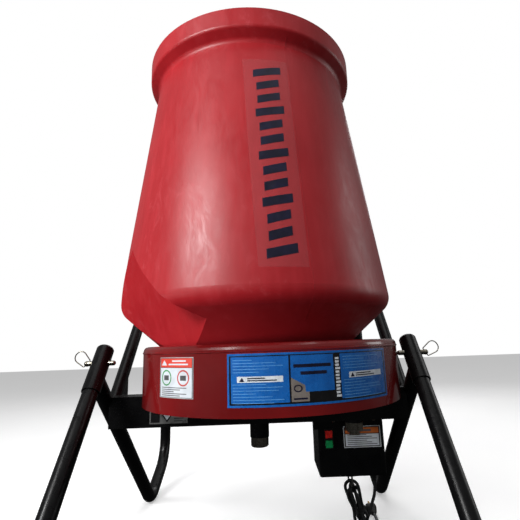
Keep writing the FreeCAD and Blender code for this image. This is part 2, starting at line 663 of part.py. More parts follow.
def belt_loop(big, small, distance, heading):
    """Outline of a belt round two pulleys, the big one at the origin."""
    tilt = math.acos((big - small) / distance)
    turn = [heading + tilt, heading - tilt]
    on_big = [Vector(math.cos(a), math.sin(a), 0) * big for a in turn]
    far = Vector(math.cos(heading), math.sin(heading), 0)
    on_small = [Vector(math.cos(a), math.sin(a), 0) * small + far * distance for a in turn]
    return Part.Wire([Part.Arc(on_big[0], far * -big, on_big[1]).toShape(),
                      Part.LineSegment(on_big[1], on_small[1]).toShape(),
                      Part.Arc(on_small[1], far * (distance + small), on_small[0]).toShape(),
                      Part.LineSegment(on_small[0], on_big[0]).toShape()])


def belt_drive():
    keep(pulley("jack_radius", "driven_hub", "driven_radius", "driven_groove", JACK_X, "drum_y"),
         "driven_pulley")
    keep(pulley("motor_shaft", None, "motor_pulley", "motor_groove", "motor_x",
                "drum_y + motor_y"), "motor_pulley")
    offset = Vector(size("motor_x") - size(JACK_X), size("motor_y"), 0)
    heading = math.atan2(offset.y, offset.x)
    inner, outer = [Part.Face(belt_loop(size("belt_inner_big") + extra,
                                        size("belt_inner_small") + extra, offset.Length, heading))
                    for extra in (0, size("belt_thick"))]
    belt = outer.cut(inner).extrude(Vector(0, 0, 2 * size("belt_half")))
    belt.translate(Vector(size(JACK_X), size("drum_y"), size("pulley_z") - size("belt_half")))
    keep(made(belt), "drive_belt")


# ---------------------------------------------------------------- motor, cover and switch

def motor():
    where = ("motor_x", "drum_y + motor_y")
    plate = box(("motor_plate_left", "motor_plate_right"),
                ("drum_y + bar_depth / 2", "drum_y + motor_plate_back"),
                ("motor_top", "motor_top + motor_plate"))
    keep(cut(plate, rod("motor_bore + 5", "40", *where, "motor_top - 20")), "motor_plate")
    body = [("0", "bell_low"), ("bell_radius - 6", "bell_low"), ("bell_radius", "bell_low + 6"),
            ("bell_radius", "motor_low - 8"), ("motor_radius - 6", "motor_low"),
            ("motor_radius", "motor_low + 6"), ("motor_radius", "motor_top"),
            ("motor_bore", "motor_top"), ("motor_bore", "motor_low"), ("0", "motor_low")]
    keep(turned(body, *where), "motor_body")
    keep(rod("motor_shaft", "pulley_z + pulley_half - motor_low - 2", *where, "motor_low + 2"),
         "motor_shaft")


def cover_box(inset, low, high):
    """An upright block with rounded corners, the size of the motor cover less an inset."""
    radius = size("cover_round") - inset
    left, right = size("cover_left") + inset, size("cover_right") - inset
    front, back = size("cover_front") + inset, size("cover_back") - inset
    corners = [Vector(x, size("drum_y") + y, low) for x, y in
               ((left, front), (right, front), (right, back), (left, back))]
    return Part.Face(rounded(corners, [radius] * 4, closed=True)).extrude(Vector(0, 0, high - low))


def motor_cover():
    low, top, wall = size("cover_low"), size("motor_top"), size("cover_wall")
    outer, inner = cover_box(0, low, top), cover_box(wall, low + wall, top)
    lug = box(("lug_left", "cover_left"), ("drum_y + cover_front + 6",
              "drum_y + cover_front + 6 + lug_deep"), ("lug_low", "lug_top"))
    bell = rod("bell_hole", "20", "motor_x", "drum_y + motor_y", "cover_low - 10")
    window = box(("switch_left", "switch_right"), ("drum_y + cover_front - 10",
                 "drum_y + cover_front + 10"), ("switch_low", "switch_top"))
    gland = rod("gland_top_radius - 3", "20", "gland_x", "drum_y + gland_y", "cover_low - 10")
    screws = [rod("screw_radius", "20", x, "drum_y + cover_front - 10", "cover_screw_z",
                  towards("Y")) for x in ("cover_screw_left", "cover_screw_right")]
    keep(cut(fuse(made(outer.cut(inner)), lug), bell, window, gland, *screws), "motor_cover")

    heads = []
    for x in ("cover_screw_left", "cover_screw_right"):
        shank = rod("screw_radius", "screw_long", x, "drum_y + cover_front", "cover_screw_z",
                    towards("Y"))
        head = turned([("0", "0"), ("screw_head - 2", "0"), ("screw_head", "1.5"),
                       ("screw_head", "screw_head_tall"), ("0", "screw_head_tall")], x,
                      "drum_y + cover_front - screw_head_tall", "cover_screw_z", towards("Y"))
        heads.append(fuse(shank, head))
    keep(group(*heads), "cover_screws")


def switch():
    half = "(button_side / 2 + button_gap)"
    middle = "((switch_left + switch_right) / 2)"
    block = box(("switch_left", "switch_right"), ("drum_y + switch_front", "drum_y + switch_back"),
                ("switch_low", "switch_top"))
    pockets = [box((f"{middle} - {half}", f"{middle} + {half}"),
                   ("drum_y + switch_front - 5", "drum_y + button_back + button_travel + 0.5"),
                   (f"{z} - {half}", f"{z} + {half}")) for z in ("stop_z", "start_z")]
    keep(cut(block, *pockets), "switch_housing")
    for name, z in (("stop_button", "stop_z"), ("start_button", "start_z")):
        block = box((f"{middle} - button_side / 2", f"{middle} + button_side / 2"),
                    ("drum_y + button_front", "drum_y + button_back"),
                    (f"{z} - button_side / 2", f"{z} + button_side / 2"))
        fillet = doc.addObject("Part::Fillet", "Rounded")
        fillet.Base = block
        doc.recompute()
        front = size("drum_y + button_front")
        fillet.Edges = [(number, 1.2, 1.2) for number, edge in enumerate(block.Shape.Edges, 1)
                        if all(abs(vertex.Y - front) < 0.01 for vertex in edge.Vertexes)]
        keep(fillet, name)


# ---------------------------------------------------------------- labels

def curved_label(name, start, end, low, top):
    """A thin label bent round the guard's skirt, between two bearings from its front."""
    def sector(radius):
        item = rod(radius, f"{top} - {low}", "guard_shift", "drum_y", low,
                   Rotation(AXES["Z"], size(start) - 90))
        return bind(item, {"Angle": f"{end} - {start}"})
    keep(cut(sector("guard_radius + label_thick"), sector("guard_radius")), name)


def labels():
    curved_label("guard_label", "label_from", "label_to", "label_low", "label_top")
    curved_label("caution_label", "caution_from", "caution_to", "caution_low", "caution_top")
    keep(box(("rating_left", "rating_right"),
             ("drum_y - bar_depth / 2 - label_thick", "drum_y - bar_depth / 2"),
             ("rating_low", "rating_top")), "rating_plate")
    keep(box(("cover_label_left", "cover_label_right"),
             ("drum_y + cover_front - label_thick", "drum_y + cover_front"),
             ("cover_label_low", "cover_label_top")), "cover_label")


# ---------------------------------------------------------------- power cord

# The lead from its gland to the hank, and its end from the hank's foot along the floor to the plug.
LEAD_ROUTE = [(256, 41.75, 102), (256, 41.75, 80), (244, 37.75, 54), (232, 33.75, 34),
              (216, 32.75, 26)]
TAIL_ROUTE = [(231, 39.75, 15), (246, 46.75, 6), (259, 58.75, 5), (264, 78.75, 6.5),
              (262, 101.75, 11)]
# The outer shape of the hank, from its top to its foot: height, centre, half width, half depth.
HANK_SECTIONS = [(112, 197, 10, 9), (104, 199, 20, 16), (78, 206, 17, 14), (47, 214, 13, 13),
                 (19, 221, 19, 16), (7, 224, 10, 9)]


def cord_tube(route):
    """A round lead along straight runs and the largest arcs that they allow."""
    points = [Vector(*point) for point in route]
    radii = [0] * len(points)
    for index in range(1, len(points) - 1):
        back, ahead = points[index] - points[index - 1], points[index + 1] - points[index]
        shorter, turn = min(back.Length, ahead.Length), back.getAngle(ahead)
        radii[index] = 0.45 * shorter / math.tan(turn / 2)
    print("cord radii", [round(radius) for radius in radii[1:-1]])
    return swept(rounded(points, radii), size("cord_radius"))


def hank_solid(extra=0):
    sections = []
    for height, x, half_wide, half_deep in HANK_SECTIONS:
        centre = Vector(x, size("drum_y + hank_y"), height)
        ellipse = Part.Ellipse(centre, half_wide + extra, half_deep + extra)
        sections.append(Part.Wire(ellipse.toShape()))
    return Part.makeLoft(sections, True, False)


def power_cord():
    gland = [("0", "cover_low - gland_long"), ("gland_tip_radius", "cover_low - gland_long"),
             ("gland_top_radius", "cover_low - 4"), ("gland_top_radius", "cover_low"),
             ("gland_top_radius - 3", "cover_low"), ("gland_top_radius - 3", "cover_low + 5"),
             ("0", "cover_low + 5")]
    keep(turned(gland, "gland_x", "drum_y + gland_y"), "cord_gland")

    x, z, bend = size("hook_x"), size("hook_z"), size("hook_bend")
    front, back = size("drum_y + hook_front"), size("drum_y + hook_back")
    hook_points = [Vector(x, front, size("cover_low")), Vector(x, front, z), Vector(x, back, z),
                   Vector(x, back, size("hook_tip"))]
    hook = swept(rounded(hook_points, [0, bend, bend, 0]), size("hook_wire"))
    keep(made(hook), "cord_hook")

    block = box(("plug_x - plug_wide / 2", "plug_x + plug_wide / 2"),
                ("drum_y + plug_y", "drum_y + plug_y + plug_long"), ("0", "plug_tall"))
    doc.recompute()
    hole = Part.makeCylinder(size("hook_wire + hook_play"), back - front + 20,
                             Vector(x, front - 10, z), AXES["Y"])
    lead, tail = cord_tube(LEAD_ROUTE), cord_tube(TAIL_ROUTE).cut(block.Shape)
    keep(made(hank_solid().cut(hole).cut(lead).cut(tail)), "cord_hank")
    keep(made(lead), "cord_tube")
    keep(made(tail), "cord_tail")
    band = hank_solid(size("tie_thick")).cut(hank_solid())
    band = band.common(half_space(Vector(0, 0, size("tie_low + tie_tall")), AXES["Z"]))
    keep(made(band.cut(half_space(Vector(0, 0, size("tie_low")), AXES["Z"])).cut(lead)), "cord_tie")

    keep(block, "plug_body")
    blades = [box((f"plug_x + {sign} * blade_gap / 2 - blade_thick / 2",
                   f"plug_x + {sign} * blade_gap / 2 + blade_thick / 2"),
                  ("drum_y + plug_y + plug_long", "drum_y + plug_y + plug_long + blade_long"),
                  ("plug_tall / 2 - blade_tall / 2", "plug_tall / 2 + blade_tall / 2"))
              for sign in SIDES.values()]
    ground_pin = rod("2.4", "blade_long + 3", "plug_x", "drum_y + plug_y + plug_long",
                     "plug_tall / 2 + 6", towards("Y"))
    keep(group(*blades, ground_pin), "plug_blades")


crossbar()
for side_name in SIDES:
    side_frame(side_name)
tube_plugs()
push_handle()
drum()
drive_guard()
ring_gear()
drum_drive()
jackshaft()
belt_drive()
motor()
motor_cover()
switch()
labels()
power_cord()
doc.recompute()

for item in doc.Objects:
    if {"Invalid", "Error"} & set(item.State):
        raise RuntimeError(f"{item.Label} failed: {item.State}")
for item in sub_parts:
    if item.Shape.isNull() or not item.Shape.isValid() or not item.Shape.Solids:
        raise RuntimeError(f"{item.Label} has no sound solid")
    item.Shape.exportStep(f"parts/{item.Label}.step")
print(len(sub_parts), "sub-parts")
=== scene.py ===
import math

import bmesh
import bpy
from mathutils import Matrix, Vector
from mathutils.bvhtree import BVHTree


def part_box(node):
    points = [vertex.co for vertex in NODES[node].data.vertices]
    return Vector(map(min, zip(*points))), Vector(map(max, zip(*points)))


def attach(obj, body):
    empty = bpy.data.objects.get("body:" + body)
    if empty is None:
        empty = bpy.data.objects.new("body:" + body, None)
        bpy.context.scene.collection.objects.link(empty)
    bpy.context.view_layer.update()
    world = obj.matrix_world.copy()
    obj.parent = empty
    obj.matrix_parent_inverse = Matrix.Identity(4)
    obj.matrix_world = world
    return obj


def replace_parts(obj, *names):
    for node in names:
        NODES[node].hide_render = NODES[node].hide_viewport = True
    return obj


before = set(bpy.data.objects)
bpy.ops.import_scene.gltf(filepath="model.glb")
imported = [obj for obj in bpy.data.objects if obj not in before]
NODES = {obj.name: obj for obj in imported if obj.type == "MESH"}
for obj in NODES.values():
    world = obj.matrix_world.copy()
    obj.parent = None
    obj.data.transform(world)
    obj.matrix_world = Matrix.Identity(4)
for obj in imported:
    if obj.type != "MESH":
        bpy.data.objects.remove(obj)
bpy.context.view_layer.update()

# Looks of a portable electric concrete mixer. The frame gives every place; metres, front at -Y.

MM = 0.001


def centre(node):
    low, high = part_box(node)
    return (Vector(low) + Vector(high)) / 2


DRUM_AXIS = centre("drum_shaft")
GUARD_AXIS = centre("guard_floor")


# ---------------------------------------------------------------- materials

def linear(red, green, blue):
    """A colour given as it is seen, 0 to 255 a channel, for a shader socket."""
    return tuple(((c / 255 + 0.055) / 1.055) ** 2.4 if c > 10 else c / 255 / 12.92
                 for c in (red, green, blue)) + (1,)


class Surface:
    """A material under construction: a Principled shader and the nodes that feed it."""

    def __init__(self, name, roughness=0.5, metallic=0.0, coat=0.0):
        self.name = name
        self.material = bpy.data.materials.new(name)
        self.material.use_nodes = True
        self.nodes, self.links = self.material.node_tree.nodes, self.material.node_tree.links
        self.shader = self.nodes["Principled BSDF"]
        self.set(Roughness=roughness, Metallic=metallic)
        if coat:
            self.shader.inputs["Coat Weight"].default_value = coat
            self.shader.inputs["Coat Roughness"].default_value = 0.08
        self.place = self.nodes.new("ShaderNodeTexCoord").outputs["Object"]
        self.normal = None

    def set(self, **inputs):
        for name, value in inputs.items():
            self.shader.inputs[name.replace("_", " ")].default_value = value

    def noise(self, scale, detail=3.0, stretch=(1, 1, 1), distortion=0.0, roughness=0.5):
        """Noise in metres of the row frame, stretched along the axes."""
        mapping = self.nodes.new("ShaderNodeMapping")
        mapping.inputs["Scale"].default_value = stretch
        self.links.new(self.place, mapping.inputs["Vector"])
        noise = self.nodes.new("ShaderNodeTexNoise")
        noise.inputs["Scale"].default_value = scale
        noise.inputs["Detail"].default_value = detail
        noise.inputs["Roughness"].default_value = roughness
        noise.inputs["Distortion"].default_value = distortion
        self.links.new(mapping.outputs["Vector"], noise.inputs["Vector"])
        return noise.outputs["Fac"]

    def ramp(self, factor, start, end, low=0.0, high=1.0):
        """The factor from start to end as a number from low to high, held outside."""
        node = self.nodes.new("ShaderNodeMapRange")
        node.interpolation_type = "SMOOTHSTEP"
        for name, value in (("From Min", start), ("From Max", end), ("To Min", low),
                            ("To Max", high)):
            node.inputs[name].default_value = value
        self.links.new(factor, node.inputs["Value"])
        return node.outputs["Result"]

    def product(self, first, second):
        node = self.nodes.new("ShaderNodeMath")
        node.operation = "MULTIPLY"
        self.links.new(first, node.inputs[0])
        self.links.new(second, node.inputs[1])
        return node.outputs[0]

    def mix(self, factor, first, second):
        """A colour between two, each a colour or another node's output."""
        node = self.nodes.new("ShaderNodeMix")
        node.data_type = "RGBA"
        self.links.new(factor, node.inputs["Factor"])
        for value, socket in ((first, node.inputs[6]), (second, node.inputs[7])):
            if isinstance(value, tuple):
                socket.default_value = value
            else:
                self.links.new(value, socket)
        return node.outputs[2]

    def colour(self, output):
        self.links.new(output, self.shader.inputs["Base Color"])

    def roughen(self, output):
        self.links.new(output, self.shader.inputs["Roughness"])

    def bump(self, height, strength, distance):
        node = self.nodes.new("ShaderNodeBump")
        node.inputs["Strength"].default_value = strength
        node.inputs["Distance"].default_value = distance
        self.links.new(height, node.inputs["Height"])
        if self.normal:
            self.links.new(self.normal, node.inputs["Normal"])
        self.normal = node.outputs["Normal"]
        self.links.new(self.normal, self.shader.inputs["Normal"])
        return self


def tinted(name, light, dark, roughness=0.5, metallic=0.0, coat=0.0, blotch=14.0,
           grain=900.0, grain_height=0.05, rough_spread=0.08):
    """Two close shades in soft blotches, uneven gloss and a fine grain."""
    surface = Surface(name, roughness, metallic, coat)
    patches = surface.noise(blotch, detail=4)
    surface.colour(surface.mix(surface.ramp(patches, 0.3, 0.7), linear(*dark), linear(*light)))
    smears = surface.noise(blotch * 2.7, detail=5, distortion=0.6)
    surface.roughen(surface.ramp(smears, 0.3, 0.75, roughness - rough_spread,
                                 roughness + rough_spread))
    surface.bump(surface.noise(grain, detail=2), 0.35, grain_height * MM)
    return surface


def drum_red():
    """Rotomoulded polyethylene: satin, faint upright streaks, fine pale scuffs."""
    surface = Surface("drum_red", 0.4)
    broad = surface.noise(5, detail=3)
    streaks = surface.noise(70, detail=4, stretch=(1, 1, 0.05))
    swirls = surface.noise(34, detail=9, stretch=(1, 1, 0.45), distortion=1.6, roughness=0.66)
    reach = surface.noise(3.2, detail=2)
    red = surface.mix(surface.ramp(broad, 0.35, 0.65), linear(156, 26, 33), linear(168, 33, 39))
    red = surface.mix(surface.ramp(streaks, 0.42, 0.75, 0, 0.28), red, linear(182, 46, 54))
    rub = surface.product(surface.ramp(swirls, 0.55, 0.72, 0, 0.22), surface.ramp(reach, 0.42, 0.6))
    surface.colour(surface.mix(rub, red, linear(206, 92, 100)))
    surface.roughen(surface.ramp(swirls, 0.3, 0.7, 0.33, 0.47))
    surface.bump(surface.noise(24, detail=2), 0.12, 0.5 * MM)
    return surface.bump(surface.noise(1400, detail=2), 0.3, 0.05 * MM)


def guard_red():
    """Gloss maroon paint with orange peel, dust in the gloss and a few rubbed specks."""
    surface = Surface("guard_red", 0.2, coat=0.6)
    broad = surface.noise(7, detail=3)
    specks = surface.noise(240, detail=3, roughness=0.7)
    red = surface.mix(surface.ramp(broad, 0.3, 0.7), linear(96, 12, 14), linear(118, 18, 20))
    surface.colour(surface.mix(surface.ramp(specks, 0.74, 0.8, 0, 0.35), red,
                               linear(160, 78, 70)))
    surface.roughen(surface.ramp(surface.noise(18, detail=5), 0.3, 0.75, 0.14, 0.3))
    return surface.bump(surface.noise(420, detail=1), 0.25, 0.06 * MM)


def brushed(name, light, dark, roughness, stretch, grain=700.0):
    """Bare metal with a grain along one axis and darker patches."""
    surface = Surface(name, roughness, metallic=1.0)
    lines = surface.noise(grain, detail=3, stretch=stretch)
    patches = surface.noise(30, detail=4)
    shade = surface.mix(surface.ramp(lines, 0.3, 0.7), linear(*dark), linear(*light))
    surface.colour(surface.mix(surface.ramp(patches, 0.45, 0.8, 0, 0.5), shade, linear(*dark)))
    surface.roughen(surface.ramp(patches, 0.3, 0.7, roughness - 0.08, roughness + 0.1))
    return surface.bump(lines, 0.3, 0.04 * MM)


def clear_film():
    """The clear film of a stick-on print: slightly milky, finely wrinkled."""
    surface = Surface("clear_film", 0.32)
    surface.set(Base_Color=linear(206, 100, 104), Alpha=0.12)
    wrinkles = surface.noise(320, detail=4, stretch=(1, 1, 0.5), distortion=0.8)
    surface.roughen(surface.ramp(wrinkles, 0.3, 0.7, 0.26, 0.5))
    return surface.bump(wrinkles, 0.4, 0.12 * MM)


def black_paint():
    """Deep black paint: dark but for narrow highlights."""
    surface = tinted("frame_black", (11, 11, 12), (5, 5, 6), 0.3, blotch=20.0, grain=1100.0,
                     rough_spread=0.06)
    surface.set(Specular_IOR_Level=0.28)
    return surface


def make_materials():
    made = [
        drum_red(), guard_red(), clear_film(), black_paint(),
        brushed("zinc", (196, 192, 180), (120, 112, 96), 0.3, (1, 1, 1)),
        brushed("bare_steel", (178, 176, 172), (128, 126, 124), 0.34, (1, 1, 0.05)),
        brushed("brass", (206, 172, 96), (150, 118, 60), 0.3, (1, 0.1, 1)),
        tinted("gear_iron", (70, 68, 66), (44, 42, 40), 0.5, metallic=0.8, grain=500.0),
        tinted("motor_grey", (96, 98, 100), (74, 76, 78), 0.45, metallic=0.4),
        tinted("rubber_black", (24, 24, 24), (15, 15, 15), 0.72, grain=700.0, grain_height=0.1),
        tinted("belt_black", (30, 30, 30), (18, 18, 18), 0.8, grain=500.0, grain_height=0.15),
        tinted("plastic_black", (20, 20, 21), (12, 12, 13), 0.3, grain=1500.0),
        tinted("stop_red", (205, 34, 28), (184, 24, 22), 0.3, grain=1500.0),
        tinted("start_green", (18, 150, 84), (12, 128, 70), 0.3, grain=1500.0),
        tinted("label_blue", (22, 100, 180), (16, 88, 164), 0.3, coat=0.3, blotch=40.0),
        tinted("label_white", (206, 210, 214), (186, 190, 194), 0.34, coat=0.3, blotch=40.0),
        tinted("plate_silver", (176, 176, 174), (142, 142, 140), 0.32, metallic=0.7),
        tinted("cord_black", (34, 35, 36), (20, 21, 22), 0.46, grain=900.0),
        tinted("label_black", (14, 14, 16), (8, 8, 10), 0.36, coat=0.3, blotch=40.0),
        tinted("label_grey", (128, 120, 114), (112, 104, 98), 0.4, coat=0.3, blotch=40.0),
        tinted("label_pale", (216, 222, 228), (200, 206, 212), 0.36, blotch=60.0),
        tinted("label_line_blue", (96, 158, 214), (80, 142, 200), 0.4, blotch=60.0),
        tinted("label_line_grey", (92, 92, 94), (70, 70, 72), 0.45, blotch=60.0),
        tinted("label_header", (222, 74, 58), (206, 62, 48), 0.36, coat=0.3, blotch=40.0),
        tinted("label_orange", (214, 110, 48), (196, 96, 40), 0.36, coat=0.3, blotch=40.0),
        tinted("label_ring_green", (60, 150, 84), (48, 134, 72), 0.4, blotch=60.0),
        tinted("label_ring_red", (196, 56, 50), (178, 46, 42), 0.4, blotch=60.0),
        tinted("print_navy", (24, 22, 48), (14, 13, 32), 0.4, blotch=40.0),
    ]
    return {surface.name: surface.material for surface in made}


MATERIALS = make_materials()


def dress_frame():
    """Each CAD piece gets the finished material of its own slot."""
    for node in NODES.values():
        for slot in node.material_slots:
            slot.material = MATERIALS[slot.material.name.split(".")[0]]


# ---------------------------------------------------------------- building blocks

def piece(name, mesh, material, body="frame"):
    """An object that rides on a body, with its material."""
    mesh.materials.append(MATERIALS[material])
    item = bpy.data.objects.new(name, mesh)
    bpy.context.scene.collection.objects.link(item)
    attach(item, body)
    return item


def mesh_of(name, points, faces, smooth=True):
    mesh = bpy.data.meshes.new(name)
    mesh.from_pydata([tuple(point) for point in points], [], faces)
    if smooth:
        mesh.shade_smooth()
    mesh.validate()
    return mesh


def rings_mesh(name, rings, closed_ends=True, smooth=True):
    """A skin over equal rings of points, the ends filled."""
    count = len(rings[0])
    points = [point for ring in rings for point in ring]
    faces = [(level * count + k, level * count + (k + 1) % count,
              (level + 1) * count + (k + 1) % count, (level + 1) * count + k)
             for level in range(len(rings) - 1) for k in range(count)]
    if closed_ends:
        faces.append(tuple(range(count))[::-1])
        faces.append(tuple((len(rings) - 1) * count + k for k in range(count)))
    return mesh_of(name, points, faces, smooth)


def frame_round(axis):
    """Two directions square to an axis."""
    axis = axis.normalized()
    first = axis.orthogonal().normalized()
    return first, axis.cross(first).normalized()


def lathed(name, profile, start, axis, sides=40):
    """A solid turned about an axis; profile is (radius, distance along the axis)."""
    first, second = frame_round(axis)
    along = axis.normalized()
    rings = []
    for radius, far in profile:
        turn = [2 * math.pi * k / sides for k in range(sides)]
        rings.append([start + along * far + (first * math.cos(a) + second * math.sin(a)) * radius
                      for a in turn])
    return rings_mesh(name, rings)


def decal(name, place, shapes, material, lift, step=(0, 0), body="frame"):
    """Flat shapes laid on a surface: place(a, b, lift) gives the point over (a, b)."""
    build = bmesh.new()
    for shape in shapes:
        build.faces.new([build.verts.new((a, b, 0)) for a, b in shape])
    for axis, size in enumerate(step):
        if not size:
            continue
        normal = Vector((1 - axis, axis, 0))
        values = [vert.co[axis] for vert in build.verts]
        for index in range(math.ceil(min(values) / size), math.ceil(max(values) / size)):
            geometry = build.verts[:] + build.edges[:] + build.faces[:]
            bmesh.ops.bisect_plane(build, geom=geometry, plane_co=normal * index * size,
                                   plane_no=normal)
    bmesh.ops.triangulate(build, faces=build.faces[:])
    for vert in build.verts:
        vert.co = place(vert.co.x, vert.co.y, lift)
    mesh = bpy.data.meshes.new(name)
    build.to_mesh(mesh)
    build.free()
    item = piece(name, mesh, material, body)
    thick = item.modifiers.new("Thickness", "SOLIDIFY")
    thick.thickness, thick.offset = min(lift, 0.1 * MM) * 0.8, -1
    return item


def bar(left, low, right, high):
    """A rectangle as the corners of a shape."""
    return [(left, low), (right, low), (right, high), (left, high)]


def ring_shapes(a, b, outer_a, outer_b, inner=0.78, count=20):
    """A flat ring as a run of short quads; the two half axes are in the label's own units."""
    shapes = []
    for k in range(count):
        first, second = 2 * math.pi * k / count, 2 * math.pi * (k + 1) / count
        shapes.append([(a + outer_a * share * math.cos(turn), b + outer_b * share * math.sin(turn))
                       for share, turn in ((inner, first), (1, first), (1, second),
                                           (inner, second))])
    return shapes


# ---------------------------------------------------------------- drum

DRUM_SKIN = BVHTree.FromPolygons([v.co for v in NODES["drum_shell"].data.vertices],
                                 [tuple(p.vertices) for p in NODES["drum_shell"].data.polygons])


def bearing(degrees):
    """A level direction, counted from the front towards +X."""
    angle = math.radians(degrees)
    return Vector((math.sin(angle), -math.cos(angle), 0))


def on_drum(degrees, height, lift):
    """The point over the drum's skin at a bearing and height."""
    axis = Vector((DRUM_AXIS.x, DRUM_AXIS.y, height))
    away = bearing(degrees)
    hit = DRUM_SKIN.ray_cast(axis + away * 0.5, -away)
    return hit[0] + hit[1] * lift


def parting_lines():
    """The flash where the mould's two halves met: a fine ridge up each side."""
    low, high, count, half = 0.452, 1.012, 90, 0.28
    for index, degrees in enumerate((21, 201)):
        rows = []
        for k in range(count):
            height = low + (high - low) * k / (count - 1)
            wander = 0.25 * math.sin(9 * height * math.tau) * 0.2
            raised = (0.45 + 0.2 * math.sin(k * 1.7)) * MM
            rows.append([on_drum(degrees + wander - half, height, -0.2 * MM),
                         on_drum(degrees + wander, height, raised),
                         on_drum(degrees + wander + half, height, -0.2 * MM)])
        faces = [(3 * k + side, 3 * k + side + 1, 3 * k + side + 4, 3 * k + side + 3)
                 for k in range(count - 1) for side in range(2)]
        mesh = mesh_of(f"drum_parting_line_{index + 1}", [p for row in rows for p in row], faces)
        piece(mesh.name, mesh, "drum_red", "drum")


def drum_print():
    """Clear film on the drum with a printed column of slanted bars."""
    low, high = 0.535, 0.955

    def left(height):
        return 3.1 - 4.7 * (height - low) / (high - low)

    outline = [(left(low), low), (20.2, low), (20.6, high), (left(high), high)]
    decal("drum_film", on_drum, [outline], "clear_film", 0.25 * MM, (1.6, 0.02), "drum")
    count, start, end, slant = 13, 0.548, 0.942, 0.011
    pitch = (end - start) / count
    shapes = []
    for k in range(count):
        bottom = start + k * pitch
        inner = left(bottom) + (4.6 if k % 3 == 0 else 5.8) - 1.6 * (1 - k / count)
        outer = 16.8 if k % 3 == 0 else 15.4
        tall = pitch * 0.56
        shapes.append([(inner, bottom), (outer, bottom + slant), (outer, bottom + slant + tall),
                       (inner, bottom + tall)])
    decal("drum_film_print", on_drum, shapes, "print_navy", 0.4 * MM, (1.6, 0.02), "drum")


# ---------------------------------------------------------------- labels

LABEL_LOW, LABEL_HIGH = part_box("guard_label")
LABEL_RADIUS = GUARD_AXIS.y - LABEL_LOW[1]


def on_guard(degrees, height, lift):
    """The point over a label on the guard's skirt."""
    flat = Vector((GUARD_AXIS.x, GUARD_AXIS.y, height))
    return flat + bearing(degrees) * (LABEL_RADIUS + lift)


def on_plate(node):
    """Places shapes on a flat label that faces the front, in shares of its width and height."""
    low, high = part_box(node)

    def place(a, b, lift):
        return Vector((low[0] + a * (high[0] - low[0]), low[1] - lift,
                       low[2] + b * (high[2] - low[2])))
    return place


def guard_label_print():
    """Blue panels in a black border, a grey clipped corner, a black strip and plain stickers."""
    first, last = -14.5, 49.5
    low, high = LABEL_LOW[2], LABEL_HIGH[2]
    step = (2, 0)
    edge_a, edge_b = 0.7, 3.4 * MM
    decal("guard_label_border", on_guard, [bar(first + edge_a, low + edge_b, last - edge_a,
                                               high - edge_b)],
          "label_black", 0.12 * MM, step)
    inner_low, inner_high = low + edge_b + 2.6 * MM, high - edge_b - 1.6 * MM
    cut_a, clip = 11.6, 0.342
    middle_low = inner_low + 14 * MM
    blue = [bar(-13.2, inner_low, 6.3, inner_high),
            [(6.9, clip + 22 * MM), (cut_a, clip + 10 * MM), (cut_a + 0.2, middle_low),
             (22.3, middle_low), (22.3, inner_high), (6.9, inner_high)],
            bar(25.1, inner_low, 48.0, inner_high)]
    decal("guard_label_blue", on_guard, blue, "label_blue", 0.24 * MM, step)
    grey = [[(6.9, inner_low), (13.0, inner_low), (13.0, middle_low), (cut_a + 0.2, middle_low),
             (cut_a, clip + 10 * MM), (6.9, clip + 22 * MM)]]
    decal("guard_label_grey", on_guard, grey, "label_grey", 0.24 * MM, step)
    stickers = [bar(-11.1, 0.3585, 4.3, 0.3675), bar(28.6, 0.3585, 45.6, 0.3675)]
    decal("guard_label_stickers", on_guard, stickers, "label_pale", 0.34 * MM, step)

    lines = []
    for left, right in ((-12.6, 5.4), (26.2, 46.6)):
        for row in range(15):
            height = inner_high - (5.5 + 4.55 * row) * MM
            if 0.3555 < height < 0.3705:
                continue
            share = 0.35 + 0.6 * abs(math.sin(row * 2.3 + left))
            lines.append(bar(left, height, left + share * (right - left), height + 0.9 * MM))
    decal("guard_label_lines", on_guard, lines, "label_line_blue", 0.34 * MM, step)

    marks = [bar(7.9, 0.3785, 21.2, 0.3835), bar(10.2, 0.3675, 19.6, 0.3725)]
    marks += [bar(-7.6, 0.3605, 2.2, 0.3622), bar(-7.6, 0.3638, -1.6, 0.3655)]
    marks += [bar(31.6, 0.3605, 41.2, 0.3622), bar(31.6, 0.3638, 39.2, 0.3655)]
    marks += [[(-10.4, 0.3598), (-8.5, 0.3598), (-9.45, 0.3662)],
              [(29.2, 0.3598), (31.0, 0.3598), (30.1, 0.3662)]]
    marks += ring_shapes(9.2, 0.3475, 1.5, 5.5 * MM, 0.7)
    marks += [bar(7.7, inner_low + 3 * MM, 12.3, inner_low + 5.5 * MM)]
    decal("guard_label_marks", on_guard, marks, "print_navy", 0.44 * MM, step)

    strip = [bar(23.0, inner_low + (3 + 5.2 * k) * MM, 24.5 if k % 4 else 24.9,
                 inner_low + (6.4 + 5.2 * k) * MM) for k in range(12)]
    decal("guard_label_strip", on_guard, strip, "label_pale", 0.34 * MM, step)


